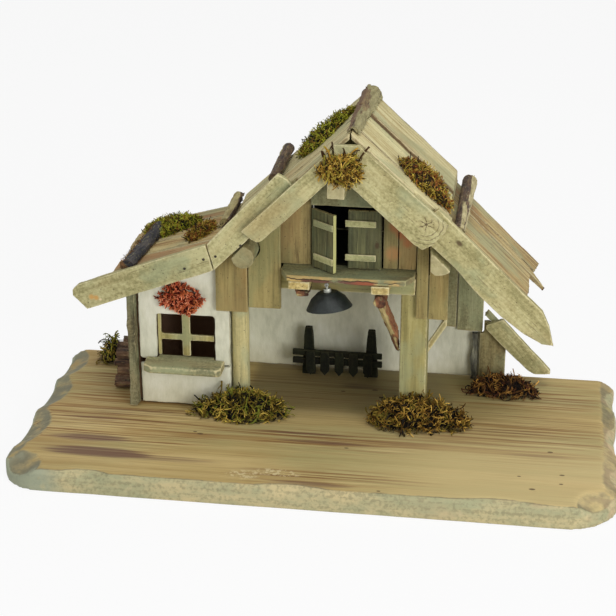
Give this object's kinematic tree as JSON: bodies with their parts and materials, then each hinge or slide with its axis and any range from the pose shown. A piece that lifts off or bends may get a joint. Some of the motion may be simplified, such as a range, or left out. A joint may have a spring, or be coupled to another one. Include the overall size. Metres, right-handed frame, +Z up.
{
  "type": "toy stable",
  "caption": "Rustic wooden stable on a hewn board, with annex, loft door, lamp, hay rack and plank roof.",
  "frame": {"origin": "middle of the underside of the base board", "axes": "+X to the right of the front, +Y to the back, +Z up"},
  "size_m": [0.506, 0.236, 0.2884],
  "materials": {
    "hewn_board": "planed softwood with a hewn, stained edge",
    "plaster": "rough white plaster",
    "weathered_wood": "weathered grey-green softwood",
    "gable_wood": "brown stained softwood",
    "roof_wood": "split planks, brown at their edges",
    "bark_wood": "round wood in its bark",
    "shutter_wood": "grey-green stained slats",
    "batten_wood": "pale weathered slats",
    "rack_wood": "dark stained wood",
    "pin_wire": "bare wire",
    "lamp_sheet": "dark, slightly worn",
    "lamp_fitting": "dull",
    "moss": "dried moss",
    "lichen": "dyed reindeer lichen"
  },
  "bodies": {
    "stable": {"base_board": "hewn_board", "rear_wall": "plaster", "rear_cladding": "weathered_wood", "rear_corner_strip": "bark_wood", "annex_upper_wall": "plaster", "annex_lower_wall": "plaster", "annex_side_wall": "plaster", "annex_partition": "plaster", "window_cross": "weathered_wood", "window_sill": "weathered_wood", "left_corner_post": "weathered_wood", "annex_post": "weathered_wood", "centre_post": "weathered_wood", "lintel": "weathered_wood", "joist_ends": "weathered_wood", "left_joist_log": "bark_wood", "balcony_board": "weathered_wood", "loft_floor": "gable_wood", "bark_brace": "bark_wood", "square_brace": "weathered_wood", "hanging_boards_left": "gable_wood", "hanging_boards_right": "gable_wood", "gable_board_left": "gable_wood", "gable_boards_right": "gable_wood", "head_boards": "weathered_wood", "left_hinge_pin": "pin_wire", "right_hinge_pin": "pin_wire", "ridge_beam": "weathered_wood", "left_beam": "weathered_wood", "right_beam": "weathered_wood", "bargeboard_annex": "weathered_wood", "bargeboard_left_middle": "weathered_wood", "bargeboard_left_upper": "weathered_wood", "bargeboard_right_upper": "weathered_wood", "bargeboard_right_lower": "weathered_wood", "roof_planks_left": "roof_wood", "roof_planks_annex": "roof_wood", "roof_planks_right_upper": "roof_wood", "roof_planks_right_lower": "roof_wood", "ridge_pole": "bark_wood", "right_pole": "bark_wood", "valley_pole": "bark_wood", "eave_pole": "bark_wood", "left_slope_pole": "bark_wood", "lean_to_post": "weathered_wood", "lean_to_planks": "weathered_wood", "hay_rack_ends": "rack_wood", "hay_rack_rails": "rack_wood", "hay_rack_pickets": "rack_wood", "log_pile": "bark_wood", "lamp_hook": "pin_wire", "ground_moss": "moss", "roof_moss": "moss", "wall_lichen": "lichen"},
    "left_shutter": {"left_shutter_boards": "shutter_wood", "left_shutter_battens": "batten_wood"},
    "right_shutter": {"right_shutter_boards": "shutter_wood", "right_shutter_battens": "batten_wood"},
    "lamp": {"lamp_shade": "lamp_sheet", "lamp_socket": "lamp_fitting"}
  },
  "joints": [
    {"name": "left_shutter_hinge", "type": "hinge", "parent": "stable", "child": "left_shutter", "pos_m": [-0.0081, 0.0139, 0.1587], "axis": [0, 0, 1], "range_deg": [-112, 38]},
    {"name": "right_shutter_hinge", "type": "hinge", "parent": "stable", "child": "right_shutter", "pos_m": [0.0473, 0.0139, 0.1587], "axis": [0, 0, 1], "range_deg": [0, 150]},
    {"name": "lamp_swing", "type": "hinge", "parent": "stable", "child": "lamp", "pos_m": [0.005, -0.001, 0.148], "axis": [0, 1, 0], "range_deg": [-15, 8]}
  ]
}
